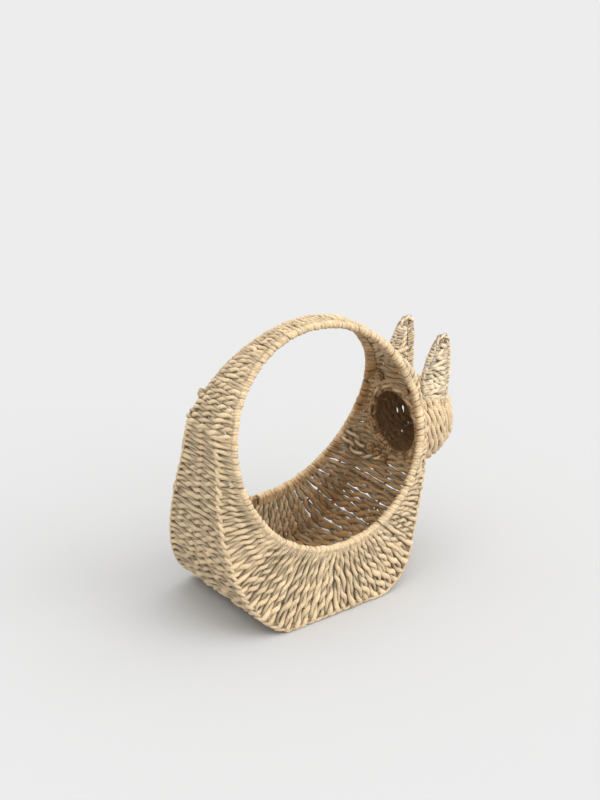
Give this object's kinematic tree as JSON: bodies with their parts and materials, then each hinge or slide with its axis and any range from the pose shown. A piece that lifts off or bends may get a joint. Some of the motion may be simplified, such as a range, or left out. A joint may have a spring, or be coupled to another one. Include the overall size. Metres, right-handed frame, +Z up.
{
  "type": "storage basket",
  "caption": "Rabbit-shaped storage basket of woven paper cord on a wire frame, with a round hoop for its mouth and handle.",
  "frame": {"origin": "on the floor plane, right below the centre of the round hoop", "axes": "+Z up, +X towards the rabbit's head, -Y the front face; the basket is the same front and back but for the ears' hand-made difference"},
  "size_m": [0.2663, 0.1306, 0.2432],
  "materials": {
    "paper_cord": "matt twisted paper cord, natural tan",
    "frame_wire": "lacquered steel wire, 3 mm, hidden under the weave",
    "rib_wire": "lacquered steel wire, 2.4 mm, hidden under the weave"
  },
  "bodies": {
    "root": {"front_weave": "paper_cord", "back_weave": "paper_cord", "side_weave": "paper_cord", "handle_weave": "paper_cord", "head_weave": "paper_cord", "front_ear_weave": "paper_cord", "back_ear_weave": "paper_cord", "front_head_knot": "paper_cord", "back_head_knot": "paper_cord", "front_rim_wire": "frame_wire", "back_rim_wire": "frame_wire", "front_edge_wire": "frame_wire", "back_edge_wire": "frame_wire", "head_ring_wire": "frame_wire", "left_cross_wire": "frame_wire", "base_left_cross_wire": "frame_wire", "base_right_cross_wire": "frame_wire", "right_cross_wire": "frame_wire", "front_face_wire": "rib_wire", "back_face_wire": "rib_wire", "handle_spine_wire": "rib_wire", "side_spine_wire": "rib_wire", "left_spreader_wire": "rib_wire", "right_spreader_wire": "rib_wire", "head_rib_wire_1": "rib_wire", "head_rib_wire_2": "rib_wire", "head_rib_wire_3": "rib_wire", "head_rib_wire_4": "rib_wire", "front_ear_wire": "rib_wire", "front_ear_stem_wire": "rib_wire", "back_ear_wire": "rib_wire", "back_ear_stem_wire": "rib_wire"}
  },
  "joints": []
}
